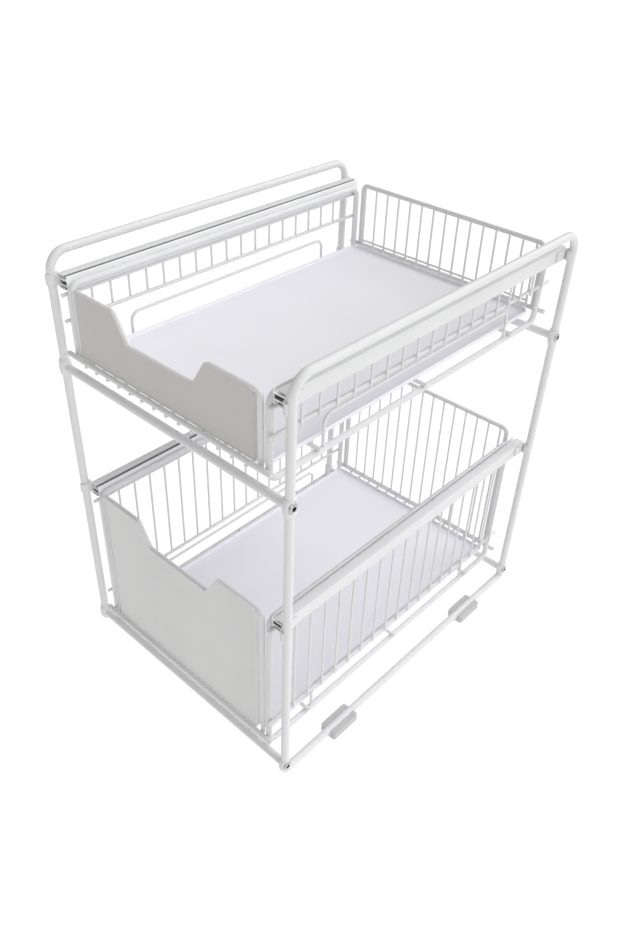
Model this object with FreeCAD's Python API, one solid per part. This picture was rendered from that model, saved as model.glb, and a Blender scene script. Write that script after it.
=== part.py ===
import FreeCAD, Part
import math
import os

# Two-tier pull-out organizer for the cupboard under a sink.
# Millimetres. X to the right, Y to the rear, Z up, origin on the floor under the middle of the frame.
# The drawers pull out towards -Y on ball-bearing slides.

Vector = FreeCAD.Vector
X_AXIS = Vector(1, 0, 0)
Y_AXIS = Vector(0, 1, 0)
Z_AXIS = Vector(0, 0, 1)
SIDES = {"left": -1, "right": 1}

# Side frames and cross bars
frame_width = 294.0          # between the tube axes of the two side frames
frame_depth = 392.0          # between the axes of the front and rear uprights
frame_height = 450.0         # between the axes of the bottom and top tubes
tube_d = 8.0
top_bend_r = 18.0
bottom_bend_r = 7.0
bar_d = 8.0
bottom_bar_rise = 10.0       # bottom cross bar axis above the bottom tube axis
drawer_bar_gap = 3.0         # underside of a drawer above the cross bars below it
upper_slide_drop = 23.0      # middle of the upper slides below the top tube axis

# Screws that hold the cross bars
screw_d = 4.0
screw_head_d = 10.5
screw_head_h = 3.5
screw_grip = 12.0            # length of thread inside a cross bar
socket_flats = 3.0
socket_depth = 2.0
screw_hole_clear = 0.15
thread_clear = 0.05

# Foot pads
pad_length = 37.0
pad_width = 20.0
pad_sole = 3.0               # pad material under the tube
pad_hug = 2.0                # height of the pad above the tube axis
pad_corner_r = 4.0
pad_spacing = 228.0          # between the middles of the two pads on one tube
pad_clear = 0.05

# Ball-bearing slides
rail_front_setback = 2.5     # rail end behind the front upright axis
rail_rear_setback = 2.0      # rail end in front of the rear upright axis
rail_gap = 3.5               # between an upright and the outer rail
rail_wall = 1.2
rail_height = 14.0
outer_rail_width = 9.0
slide_width = 13.5           # outer face of the outer rail to inner face of the inner rail
lip_width = 1.0
outer_lip_drop = 1.0
inner_lip_rise = 0.5
inner_rail_reach = 1.2       # inner rail flange end to the outer rail web
drawer_travel = 270.0
ball_d = 2.6
ball_clear = 0.05
ball_pitch = 15.0
ball_lip_clear = 0.3         # balls to the lip of the inner rail
cage_wall = 0.8
cage_web = 0.6
cage_side_clear = 0.25
cage_edge = 1.0              # cage strip beyond the balls
cage_end_margin = 6.0        # cage end to rail overlap end at full extension
cage_hole_clear = 0.1
bracket_height = 10.0
bracket_tab = 2.0
bracket_wrap = 2.0           # strap thickness round the upright
bracket_reach = 18.0         # tab length from the upright axis along the rail

# Drawer wires, shared by both drawers
weld_gap = 0.05              # between separate pieces that are welded to each other
weld_sink = 0.3              # overlap of crossing wires inside one welded grid
loop_d = 6.0                 # side loops
loop_bend_r = 10.0
cross_wire_d = 5.0           # front and rear cross wires
front_wire_setout = 3.5      # front cross wire axis in front of the upright axis
frame_wire_d = 4.5           # bent wire frame behind the front panel
frame_wire_bend_r = 6.0
front_post_inset = 7.75      # front frame posts inside the side loops, axis to axis
notch_top_width = 115.0      # finger notch, on the edge of the panel
notch_floor_width = 82.0
notch_depth = 26.0
panel_t = 1.2
panel_side_inset = 6.4       # panel side edge inside the front frame post's axis
panel_corner_r = 2.5
panel_foot_gap = 0.5         # lower panel edge above the front cross wire
panel_flange = 4.5           # folded side edges of the panel, behind the sheet
panel_flange_gap = 0.5       # between a folded edge and the top wire of the front frame
back_wire_d = 5.0
back_post_inset = 6.0        # back frame posts inside the side loops, axis to axis
back_bend_r = 6.0
back_plane_setback = 0.5     # back wire axis in front of the rear upright axis
cross_wire_overhang = 8.0    # front and rear cross wires past the side loops' axes
support_wire_d = 4.0
support_wire_overhang = 5.0  # past the side loops' axes
support_spacing = 141.0
floor_wire_d = 3.0
floor_wire_pitch = 16.0
floor_edge_margin = 15.0     # least distance of a floor wire to a side loop, axis to axis
floor_wire_overhang = 2.0    # past the axes of the front and rear cross wires
grid_wire_d = 3.5            # long wires of the side grids
grid_wire_overhang = 6.0     # past the leg axes of the side loops
grid_rail_gap = 0.3          # top wire of a side grid below the slide
rung_d = 2.2
rung_pitch = 20.4
rung_front_setback = 26.5    # first rung behind the front leg axis
rung_tail = 3.0              # rung end below the low wire axis
back_rung_pitch = 15.8
back_edge_margin = 4.0       # least distance of a back rung to a back frame post, axis to axis
back_low_wire_rise = 12.0    # low wire of the back grid above the floor wires
guard_wire_d = 3.0
guard_length = 266.0
guard_height = 29.0
guard_bend_r = 9.0
liner_t = 1.2
liner_rim = 3.0
liner_corner_r = 8.0
liner_side_gap = 1.5         # liner rim to the side loops
liner_end_gap = 2.0          # liner rim to the front and back wires

# Heights of each drawer: depth from the slide's middle down to the bottom run of the side loops,
# panel and back frame tops above the slide's middle, low grid wire above the guard's top wire
DRAWERS = {
    "upper": {"depth": 78.5, "panel_rise": 0.5, "back_rise": 2.5, "grid_lift": 12.45},
    "lower": {"depth": 176.0, "panel_rise": 5.5, "back_rise": 12.0, "grid_lift": 5.95},
}

# Places that follow from the sizes above
tube_r = tube_d / 2
tube_z = pad_sole + tube_r
top_tube_z = tube_z + frame_height
upright_x = frame_width / 2
upright_y = frame_depth / 2
run_over_bar = bar_d / 2 + drawer_bar_gap + loop_d / 2
bottom_bar_z = tube_z + bottom_bar_rise
SLIDE_Z = {
    "upper": top_tube_z - upper_slide_drop,
    "lower": bottom_bar_z + run_over_bar + DRAWERS["lower"]["depth"],
}
middle_bar_z = SLIDE_Z["upper"] - DRAWERS["upper"]["depth"] - run_over_bar
BAR_PLACES = {
    "front_bottom": (-upright_y, bottom_bar_z),
    "rear_bottom": (upright_y, bottom_bar_z),
    "front_middle": (-upright_y, middle_bar_z),
    "rear_middle": (upright_y, middle_bar_z),
}
rail_face_x = upright_x - tube_r - rail_gap
inner_face_x = rail_face_x - slide_width
rail_front_y = -upright_y + rail_front_setback
rail_length = frame_depth - rail_front_setback - rail_rear_setback
loop_x = inner_face_x - weld_gap - loop_d / 2
front_y = -upright_y - front_wire_setout
back_y = upright_y - back_plane_setback
front_leg_y = front_y + cross_wire_d / 2 + weld_gap + loop_d / 2
front_post_y = front_y + cross_wire_d / 2 + weld_gap + frame_wire_d / 2
panel_back_y = front_post_y - frame_wire_d / 2 - weld_gap
post_x = loop_x - front_post_inset
rear_leg_y = back_y - back_wire_d / 2 - weld_gap - loop_d / 2

# Slide section: heights from the slide's middle
outer_flange_in = rail_height / 2 - rail_wall
inner_flange_out = outer_flange_in - ball_d - 2 * ball_clear
ball_row_h = (outer_flange_in + inner_flange_out) / 2
inner_flange_end = rail_wall + inner_rail_reach
cage_web_depth = rail_wall + cage_side_clear
ball_depth = inner_flange_end + lip_width + ball_lip_clear + ball_d / 2
cage_strip_end = ball_depth + ball_d / 2 + cage_edge
cage_length = rail_length - drawer_travel - 2 * cage_end_margin
cage_middle_y = rail_front_y + rail_length / 2


def rod(start, end, diameter):
    """Straight round wire between two points."""
    run = end - start
    return Part.makeCylinder(diameter / 2, run.Length, start, run)


def corner(before, point, after, radius):
    """Start, middle and end of the arc that rounds one corner of a path."""
    back = (before - point).normalize()
    ahead = (after - point).normalize()
    half = back.getAngle(ahead) / 2
    reach = radius / math.tan(half)
    middle_line = (back + ahead).normalize()
    centre = point + middle_line * (radius / math.sin(half))
    return point + back * reach, centre - middle_line * radius, point + ahead * reach


def bent_path(points, radii):
    """Open path of straight runs with a tangent arc at every inner point."""
    edges = []
    here = points[0]
    for before, point, after, radius in zip(points, points[1:], points[2:], radii):
        start, middle, end = corner(before, point, after, radius)
        edges.append(Part.LineSegment(here, start).toShape())
        edges.append(Part.Arc(start, middle, end).toShape())
        here = end
    edges.append(Part.LineSegment(here, points[-1]).toShape())
    return Part.Wire(edges)


def bent_rod(points, radii, diameter):
    """Round wire bent along an open path."""
    path = bent_path(points, radii)
    section = Part.Wire(Part.makeCircle(diameter / 2, points[0], points[1] - points[0]))
    return path.makePipe(Part.Face(section))


def rod_loop(corners, radii, diameter):
    """Round wire bent into a closed loop, welded at the middle of two opposite runs."""
    count = len(corners)
    first = (corners[0] + corners[-1]) * 0.5
    half = count // 2
    second = (corners[half - 1] + corners[half]) * 0.5
    one = bent_rod([first] + corners[:half] + [second], radii[:half], diameter)
    other = bent_rod([second] + corners[half:] + [first], radii[half:], diameter)
    return one.fuse(other).removeSplitter()


def box(low, high):
    """Block between two opposite corners."""
    return Part.makeBox(high.x - low.x, high.y - low.y, high.z - low.z, low)


def merged(shapes):
    """One solid from wires that are welded where they cross."""
    return shapes[0].multiFuse(shapes[1:]).removeSplitter()


def save(name, shape):
    """Write one node of the assembly."""
    shape.exportStep("parts/" + name + ".step")


# Frame


def screw_axis_solids(side, diameter, start_x, end_x):
    """Cylinders along all four screw lines of one side, between two distances from the middle."""
    return [
        rod(Vector(side * start_x, y, z), Vector(side * end_x, y, z), diameter)
        for y, z in BAR_PLACES.values()
    ]


def side_frame(side):
    """Closed tube loop with clearance holes for the cross bar screws."""
    x = side * upright_x
    corners = [
        Vector(x, -upright_y, tube_z),
        Vector(x, -upright_y, top_tube_z),
        Vector(x, upright_y, top_tube_z),
        Vector(x, upright_y, tube_z),
    ]
    radii = [bottom_bend_r, top_bend_r, top_bend_r, bottom_bend_r]
    loop = rod_loop(corners, radii, tube_d)
    holes = screw_axis_solids(side, screw_d + 2 * screw_hole_clear, upright_x - tube_d, upright_x + tube_d)
    return loop.cut(holes)


def cross_bar(y, z):
    """Round bar, hollowed to the uprights at both ends and tapped for a screw there."""
    bar = rod(Vector(-upright_x, y, z), Vector(upright_x, y, z), bar_d)
    cuts = []
    for side in SIDES.values():
        x = side * upright_x
        cuts.append(rod(Vector(x, y, z - bar_d), Vector(x, y, z + bar_d), tube_d + 2 * weld_gap))
        bore_end = side * (upright_x - tube_r - screw_grip - screw_d)
        cuts.append(rod(Vector(bore_end, y, z), Vector(x, y, z), screw_d + 2 * thread_clear))
    return bar.cut(cuts)


def button_screw(side, y, z):
    """Button-head screw with a hex socket, its head against the outside of an upright."""
    seat = Vector(side * (upright_x + tube_r), y, z)
    out = X_AXIS * side
    dome_r = (screw_head_h ** 2 + (screw_head_d / 2) ** 2) / (2 * screw_head_h)
    dome = Part.makeSphere(dome_r, seat + out * (screw_head_h - dome_r))
    head = dome.common(Part.makeCylinder(screw_head_d, 2 * screw_head_h, seat, out))
    tip = seat - out * (tube_d + screw_grip)
    flats = [
        seat + Vector(0, math.cos(turn), math.sin(turn)) * (socket_flats / math.sqrt(3))
        for turn in (math.pi / 3 * step for step in range(7))
    ]
    socket = Part.Face(Part.makePolygon(flats)).extrude(out * screw_head_h)
    socket.translate(out * (screw_head_h - socket_depth))
    return head.cut(socket).fuse(rod(seat, tip, screw_d)).removeSplitter()


def crossbar_screws():
    """The eight screws as one group."""
    return Part.makeCompound(
        [button_screw(side, y, z) for side in SIDES.values() for y, z in BAR_PLACES.values()]
    )


def foot_pad(side, end):
    """Clip-on pad: a block with rounded corners and a groove that grips the bottom tube."""
    x = side * upright_x
    y = end * pad_spacing / 2
    half = Vector(pad_width / 2, pad_length / 2, 0)
    block = box(Vector(x, y, 0) - half, Vector(x, y, tube_z + pad_hug) + half)
    posts = [edge for edge in block.Edges if abs(edge.tangentAt(edge.FirstParameter).z) > 0.5]
    block = block.makeFillet(pad_corner_r, posts)
    groove = rod(Vector(x, y - pad_length, tube_z), Vector(x, y + pad_length, tube_z), tube_d + 2 * pad_clear)
    return block.cut(groove)


# Slides


def slide_section(side, slide_z, depth, height):
    """Point of the slide section: depth inward from the outer rail's face, height from its middle."""
    return Vector(side * (rail_face_x - depth), rail_front_y, slide_z + height)


def slide_bar(side, slide_z, depths, heights, start=0.0, length=rail_length):
    """Rectangular bar of the slide section, running along Y."""
    ends = (slide_section(side, slide_z, depths[0], heights[0]), slide_section(side, slide_z, depths[1], heights[1]))
    low_x = min(ends[0].x, ends[1].x)
    high_x = max(ends[0].x, ends[1].x)
    low = Vector(low_x, rail_front_y + start, ends[0].z)
    return box(low, Vector(high_x, low.y + length, ends[1].z))


def both_flanges(side, slide_z, depths, heights, start=0.0, length=rail_length):
    """The same bar above and below the slide's middle."""
    low, high = heights
    return [
        slide_bar(side, slide_z, depths, (low, high), start, length),
        slide_bar(side, slide_z, depths, (-high, -low), start, length),
    ]


def outer_rail(side, slide_z):
    """Fixed C-channel, open towards the drawer, with lips that keep the balls in."""
    half = rail_height / 2
    bars = [slide_bar(side, slide_z, (0, rail_wall), (-half, half))]
    bars += both_flanges(side, slide_z, (0, outer_rail_width), (outer_flange_in, half))
    lip = (outer_rail_width - lip_width, outer_rail_width)
    bars += both_flanges(side, slide_z, lip, (outer_flange_in - outer_lip_drop, half))
    return merged(bars)


def inner_rail(side, slide_z):
    """Moving channel, open towards the outer rail, its web against the drawer."""
    half = rail_height / 2
    flange_in = inner_flange_out - rail_wall
    bars = [slide_bar(side, slide_z, (slide_width - rail_wall, slide_width), (-half, half))]
    bars += both_flanges(side, slide_z, (inner_flange_end, slide_width), (flange_in, inner_flange_out))
    lip = (inner_flange_end, inner_flange_end + lip_width)
    bars += both_flanges(side, slide_z, lip, (flange_in, inner_flange_out + inner_lip_rise))
    return merged(bars)


def ball_centres(side, slide_z):
    """Middles of the balls of one slide, an upper and a lower row."""
    count = int((cage_length - ball_pitch) / ball_pitch) + 1
    first_y = cage_middle_y - (count - 1) * ball_pitch / 2
    places = []
    for height in (-ball_row_h, ball_row_h):
        for step in range(count):
            place = slide_section(side, slide_z, ball_depth, height)
            place.y = first_y + step * ball_pitch
            places.append(place)
    return places


def slide_balls(side, slide_z):
    """The balls of one slide as one group."""
    return Part.makeCompound([Part.makeSphere(ball_d / 2, place) for place in ball_centres(side, slide_z)])


def ball_cage(side, slide_z):
    """Thin channel between the rails, with a round hole for every ball."""
    start = cage_middle_y - cage_length / 2 - rail_front_y
    strip = (ball_row_h - cage_wall / 2, ball_row_h + cage_wall / 2)
    web = (cage_web_depth, cage_web_depth + cage_web)
    bars = [slide_bar(side, slide_z, web, (-strip[1], strip[1]), start, cage_length)]
    bars += both_flanges(side, slide_z, (cage_web_depth, cage_strip_end), strip, start, cage_length)
    hole_d = ball_d + 2 * cage_hole_clear
    holes = [rod(c - Z_AXIS * cage_wall, c + Z_AXIS * cage_wall, hole_d) for c in ball_centres(side, slide_z)]
    return merged(bars).cut(holes)


def rail_brackets(side, slide_z):
    """Front and rear straps that hug an upright and carry the end of the outer rail."""
    clips = []
    low_z = slide_z - bracket_height / 2
    for end in (-1, 1):
        axis = Vector(side * upright_x, end * upright_y, low_z)
        strap = Part.makeCylinder(tube_r + weld_gap + bracket_wrap, bracket_height, axis, Z_AXIS)
        inner_half = box(
            Vector(axis.x - tube_d * (side > 0), axis.y - tube_d, low_z),
            Vector(axis.x + tube_d * (side < 0), axis.y + tube_d, low_z + bracket_height),
        )
        near = axis.y
        far = axis.y - end * bracket_reach
        face = side * (rail_face_x + weld_gap)
        back = face + side * bracket_tab
        tab = box(
            Vector(min(face, back), min(near, far), low_z),
            Vector(max(face, back), max(near, far), low_z + bracket_height),
        )
        bore = Part.makeCylinder(tube_r + weld_gap, bracket_height, axis, Z_AXIS)
        clips.append(strap.common(inner_half).fuse(tab).cut(bore).removeSplitter())
    return Part.makeCompound(clips)


# Drawers


def drawer_heights(tier):
    """Axis heights of every wire of a drawer, and the top edge of its panel."""
    sizes = DRAWERS[tier]
    slide_z = SLIDE_Z[tier]
    run_z = slide_z - sizes["depth"]
    run_top = run_z + loop_d / 2 + weld_gap
    support_z = run_top + support_wire_d / 2
    floor_z = support_z + support_wire_d / 2 + floor_wire_d / 2 - weld_sink
    cross_z = floor_z + floor_wire_d / 2 + cross_wire_d / 2 - weld_sink
    return {
        "slide": slide_z,
        "run": run_z,
        "run_top": run_top,
        "support": support_z,
        "floor": floor_z,
        "cross": cross_z,
        "front_foot": cross_z - cross_wire_d / 2,
        "back_foot": cross_z + cross_wire_d / 2 + weld_gap,
        "panel_foot": cross_z + cross_wire_d / 2 + panel_foot_gap,
        "panel_top": slide_z + sizes["panel_rise"],
        "back_top": slide_z + sizes["back_rise"],
        "grid_top": slide_z - rail_height / 2 - grid_rail_gap - grid_wire_d / 2,
        "grid_low": run_top + guard_height + sizes["grid_lift"],
    }


def side_loop(side, heights):
    """Closed loop of thick rod: top run along the slide, two legs, bottom run under the floor."""
    x = side * loop_x
    corners = [
        Vector(x, front_leg_y, heights["run"]),
        Vector(x, front_leg_y, heights["slide"]),
        Vector(x, rear_leg_y, heights["slide"]),
        Vector(x, rear_leg_y, heights["run"]),
    ]
    return rod_loop(corners, [loop_bend_r] * 4, loop_d)


def side_grid(side, heights):
    """Two long wires outside the legs of a side loop, with thin rungs on their outer side."""
    x = side * (loop_x + loop_d / 2 + weld_gap + grid_wire_d / 2)
    top_z = heights["grid_top"]
    low_z = heights["grid_low"]
    front = front_leg_y - grid_wire_overhang
    rear = rear_leg_y + grid_wire_overhang
    wires = [rod(Vector(x, front, z), Vector(x, rear, z), grid_wire_d) for z in (top_z, low_z)]
    rung_x = x + side * (grid_wire_d / 2 + rung_d / 2 - weld_sink)
    first = front_leg_y + rung_front_setback
    count = int((rear_leg_y - rung_d - first) / rung_pitch) + 1
    for step in range(count):
        y = first + step * rung_pitch
        wires.append(rod(Vector(rung_x, y, low_z - rung_tail), Vector(rung_x, y, top_z), rung_d))
    return merged(wires)


def front_outline(heights, y, side_x, foot_z, inset):
    """Corner points of a drawer front: two sides, a top edge and the finger notch in it.
    The inset moves the top edge and the notch into the panel."""
    top_z = heights["panel_top"] - inset
    floor_z = top_z - notch_depth
    slope = (notch_top_width - notch_floor_width) / 2 / notch_depth
    shift = inset * math.sqrt(1 + slope ** 2) - inset * slope
    half = [
        (side_x, foot_z),
        (side_x, top_z),
        (notch_top_width / 2 + shift, top_z),
        (notch_floor_width / 2 + shift, floor_z),
    ]
    left = [Vector(-x, y, z) for x, z in half]
    right = [Vector(x, y, z) for x, z in reversed(half)]
    return left + right


def front_frame(heights):
    """Bent wire behind the edge of the front panel, welded to the back of the front cross wire."""
    points = front_outline(heights, front_post_y, post_x, heights["front_foot"], frame_wire_d / 2)
    return bent_rod(points, [frame_wire_bend_r] * (len(points) - 2), frame_wire_d)


def front_panel(heights):
    """Sheet welded to the front of the wire frame, its side edges folded back."""
    half_x = post_x - panel_side_inset
    foot_z = heights["panel_foot"]
    points = front_outline(heights, panel_back_y, half_x, foot_z, 0)
    path = bent_path(points, [panel_corner_r] * (len(points) - 2))
    foot = Part.LineSegment(points[-1], points[0]).toShape()
    sheet = Part.Face(Part.Wire(path.Edges + [foot])).extrude(Y_AXIS * -panel_t)
    flange_top = heights["panel_top"] - frame_wire_d - panel_flange_gap
    for side in (-1, 1):
        edge_x = sorted((side * half_x, side * (half_x - panel_t)))
        low = Vector(edge_x[0], panel_back_y - panel_t, foot_z)
        high = Vector(edge_x[1], panel_back_y + panel_flange, flange_top)
        sheet = sheet.fuse(box(low, high))
    return sheet.removeSplitter()


def back_frame(heights):
    """Inverted U of wire that stands on the rear cross wire."""
    half_x = loop_x - back_post_inset
    points = [
        Vector(-half_x, back_y, heights["back_foot"]),
        Vector(-half_x, back_y, heights["back_top"]),
        Vector(half_x, back_y, heights["back_top"]),
        Vector(half_x, back_y, heights["back_foot"]),
    ]
    return bent_rod(points, [back_bend_r] * 2, back_wire_d)


def centred_row(half_width, pitch):
    """Places at an even pitch, centred, as many as fit in twice the half width."""
    count = int(2 * half_width / pitch) + 1
    return [(step - (count - 1) / 2) * pitch for step in range(count)]


def back_grid(heights):
    """Thin uprights in front of the back frame, tied by a low wire."""
    low_z = heights["floor"] + floor_wire_d
    y = back_y - back_wire_d / 2 - weld_gap - rung_d / 2
    tie_y = y - rung_d + weld_sink
    tie_z = heights["floor"] + back_low_wire_rise
    row = centred_row(loop_x - back_post_inset - back_edge_margin, back_rung_pitch)
    wires = [rod(Vector(row[0] - rung_d, tie_y, tie_z), Vector(row[-1] + rung_d, tie_y, tie_z), rung_d)]
    for x in row:
        wires.append(rod(Vector(x, y, low_z), Vector(x, y, heights["back_top"]), rung_d))
    return merged(wires)


def floor_grid(heights):
    """Lengthwise floor wires on three support wires, with a thick cross wire at each end."""
    wires = []
    reach = Vector(loop_x + support_wire_overhang, 0, 0)
    for y in (-support_spacing, 0, support_spacing):
        middle = Vector(0, y, heights["support"])
        wires.append(rod(middle - reach, middle + reach, support_wire_d))
    reach = Vector(loop_x + cross_wire_overhang, 0, 0)
    for y in (front_y, back_y):
        middle = Vector(0, y, heights["cross"])
        wires.append(rod(middle - reach, middle + reach, cross_wire_d))
    for x in centred_row(loop_x - floor_edge_margin, floor_wire_pitch):
        start = Vector(x, front_y - floor_wire_overhang, heights["floor"])
        end = Vector(x, back_y + floor_wire_overhang, heights["floor"])
        wires.append(rod(start, end, floor_wire_d))
    return merged(wires)


def side_guard(side, heights):
    """Long low hoop of wire that stands on the bottom run of a side loop."""
    x = side * loop_x
    foot_z = heights["run_top"]
    half = guard_length / 2
    points = [
        Vector(x, -half, foot_z),
        Vector(x, -half, foot_z + guard_height),
        Vector(x, half, foot_z + guard_height),
        Vector(x, half, foot_z),
    ]
    return bent_rod(points, [guard_bend_r] * 2, guard_wire_d)


def liner(heights):
    """Loose plastic tray with a low rim, lying on the floor wires."""
    base_z = heights["floor"] + floor_wire_d / 2 + weld_gap
    half_x = loop_x - loop_d / 2 - liner_side_gap
    front = front_post_y + frame_wire_d / 2 + liner_end_gap
    rear = back_y - back_wire_d / 2 - weld_gap - 2 * rung_d - liner_end_gap
    low = Vector(-half_x, front, base_z)
    high = Vector(half_x, rear, base_z + liner_t + liner_rim)
    block = box(low, high)
    posts = [edge for edge in block.Edges if abs(edge.tangentAt(edge.FirstParameter).z) > 0.5]
    block = block.makeFillet(liner_corner_r, posts)
    wall = Vector(liner_t, liner_t, 0)
    hollow = box(low + wall + Z_AXIS * liner_t, high - wall + Z_AXIS * liner_t)
    posts = [edge for edge in hollow.Edges if abs(edge.tangentAt(edge.FirstParameter).z) > 0.5]
    return block.cut(hollow.makeFillet(liner_corner_r - liner_t, posts))


def build():
    """Make and write every node."""
    os.makedirs("parts", exist_ok=True)
    for side_name, side in SIDES.items():
        save(side_name + "_side_frame", side_frame(side))
        save("front_" + side_name + "_foot_pad", foot_pad(side, -1))
        save("rear_" + side_name + "_foot_pad", foot_pad(side, 1))
    for place, (y, z) in BAR_PLACES.items():
        save(place + "_cross_bar", cross_bar(y, z))
    save("crossbar_screws", crossbar_screws())
    for tier in DRAWERS:
        heights = drawer_heights(tier)
        for side_name, side in SIDES.items():
            name = tier + "_" + side_name
            save(name + "_outer_rail", outer_rail(side, heights["slide"]))
            save(name + "_rail_brackets", rail_brackets(side, heights["slide"]))
            save(name + "_ball_cage", ball_cage(side, heights["slide"]))
            save(name + "_slide_balls", slide_balls(side, heights["slide"]))
            save(name + "_inner_rail", inner_rail(side, heights["slide"]))
            save(name + "_side_loop", side_loop(side, heights))
            save(name + "_side_grid", side_grid(side, heights))
            save(name + "_guard", side_guard(side, heights))
        save(tier + "_front_panel", front_panel(heights))
        save(tier + "_front_frame", front_frame(heights))
        save(tier + "_back_frame", back_frame(heights))
        save(tier + "_back_grid", back_grid(heights))
        save(tier + "_floor_grid", floor_grid(heights))
        save(tier + "_liner", liner(heights))


build()
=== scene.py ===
import math
from itertools import product

import bpy
import numpy as np
from bpy.props import FloatProperty, FloatVectorProperty, PointerProperty
from mathutils import Matrix, Vector


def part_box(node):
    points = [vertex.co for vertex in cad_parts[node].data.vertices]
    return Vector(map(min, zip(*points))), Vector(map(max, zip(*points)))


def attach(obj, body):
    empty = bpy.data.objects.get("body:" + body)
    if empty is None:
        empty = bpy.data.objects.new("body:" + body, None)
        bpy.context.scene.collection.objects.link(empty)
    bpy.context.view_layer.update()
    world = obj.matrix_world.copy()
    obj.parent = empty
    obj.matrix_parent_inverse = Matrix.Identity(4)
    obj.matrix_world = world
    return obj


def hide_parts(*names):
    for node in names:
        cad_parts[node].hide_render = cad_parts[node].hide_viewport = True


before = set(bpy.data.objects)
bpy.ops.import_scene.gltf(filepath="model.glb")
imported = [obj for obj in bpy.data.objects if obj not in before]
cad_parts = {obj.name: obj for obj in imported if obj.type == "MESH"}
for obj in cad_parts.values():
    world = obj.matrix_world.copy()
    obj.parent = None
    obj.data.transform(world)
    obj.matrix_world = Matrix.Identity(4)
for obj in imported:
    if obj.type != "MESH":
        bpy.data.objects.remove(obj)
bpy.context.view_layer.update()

bl_info = {
    "name": "Pull-out organizer finish",
    "version": (1, 0, 0),
    "blender": (4, 5, 0),
    "location": "3D View > Sidebar > Organizer",
    "description": "Finished surfaces and materials round the CAD frame of a pull-out organizer",
    "category": "Add Mesh",
}

MM = 0.001
SIDES = {"left": -1, "right": 1}
TIERS = ("upper", "lower")
ENDS = ("front", "rear")
BARS = [end + "_" + level for end, level in product(ENDS, ("bottom", "middle"))]
X_AXIS, Y_AXIS, Z_AXIS = np.eye(3)

# Counts, shares and lengths of fine shapes, which a user would hardly change
TUBE_SIDES, LOOP_SIDES, BOW_SIDES, WIRE_SIDES, RUNG_SIDES = 32, 24, 20, 16, 12  # flat sides round a wire
SCREW_SIDES, BEAD_SIDES = 48, 8
END_RINGS, KNUCKLE_RINGS, DOME_RINGS, PAD_RINGS, LIP_RINGS = 4, 15, 9, 8, 6
BEND_STEPS, PAD_EDGE_STEPS, PAD_BED_STEPS, RAIL_BEND_STEPS, LINER_CORNER_STEPS = 14, 5, 25, 4, 9
BEAD_LIFTS = (-72.0, -28.0, 28.0, 72.0)  # degrees above a bead's equator
BAR_CAP = (0.08, 0.5, 1.0)  # rings that close a bar's end, as shares of its radius
DOME_POWER, DOME_RIM = 0.8, 0.66  # fullness of a screw's dome, and its rim as a share of the socket's width
SOCKET_CUT = (1.08, 1.0, 1.0, 0.12)  # rings of a hex socket from its mouth inwards, as shares of its size
SHANK_CHAMFER, HEAD_BREAK = 0.6 * MM, 0.15 * MM  # at a screw's tip and under its head
SOCKET_LIP, SOCKET_CHAMFER, SOCKET_CONE = 0.12 * MM, 0.1 * MM, 0.35 * MM  # rise to the mouth, depths in it
PAD_WAIST = 0.6 * MM  # zone round the tube where a foot pad doesn't narrow
OUTER_LIP_DROP, INNER_LIP_DROP = 1.0 * MM, 0.5 * MM  # how far the lips of the rails turn
RAIL_FINE = 0.18 * MM  # rounding of a rail's fine corners
SHADE_PLAY = 0.02 * MM  # takes in the faces at the very edge of the painted shade inside the rails
CUT_EDGE = 0.1 * MM  # rounding of the cut ends of bent wires
GUARD_FOOT = (1.3, 1.6, 0.5)  # bead round a guard's foot, as shares of its radius
SIDE_WELD, TIE_WELD = (0.55, 1.0, 1.0), (1.0, 0.5, 1.0)  # other beads, as shares of the bead size
BACK_WELD, FLOOR_WELD = (1.0, 0.4, 1.0), (1.1, 1.1, 0.6)
LINER_LEAST = 0.4 * MM  # least corner radius of a liner's rings
LINER_OUTER = 0.75  # outer fillet of a liner, as a share of the inner one
LINER_UNDER = (0.99, 0.6, 0.25)  # insets of the rings under a liner, as shares of its half width
LINER_FLOOR = (0.12, 0.25, 0.45, 0.65, 0.85, 0.99)  # the same on its floor

# Noise of the finishes: where its values mostly lie, cells per metre, detail and strength of the relief
NOISE_SPAN = (0.3, 0.7)
CLOUD, SMUDGE, FLOOR_CLOUD = 14.0, 84.0, 3.0
FINE_DETAIL, CLOUD_DETAIL, FLOOR_DETAIL = 3.0, 4.0, 2.0
RELIEF = 0.35

# Stage, in metres; the sensor in millimetres
FLOOR_HALF, FLOOR_SINK, FLOOR_ROUGH, FLOOR_DARK = 9.0, 0.0002, 0.9, 0.99
LAMP_DISTANCE, SENSOR, NEAREST = 3.0, 36.0, 0.01


# Sizes and colours that a user would change


def length(name, description, millimetres):
    """Length property with its default in millimetres."""
    return FloatProperty(name=name, description=description, default=millimetres * MM, min=0.0,
                         unit="LENGTH", precision=5)


def amount(name, description, value):
    """Plain number property."""
    return FloatProperty(name=name, description=description, default=value)


def colour(name, description, value):
    """Colour property."""
    return FloatVectorProperty(name=name, description=description, default=value, subtype="COLOR",
                               size=3, min=0.0, max=1.0)


def angle(name, description, degrees):
    """Angle property with its default in degrees."""
    return FloatProperty(name=name, description=description, default=math.radians(degrees), subtype="ANGLE")


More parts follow.
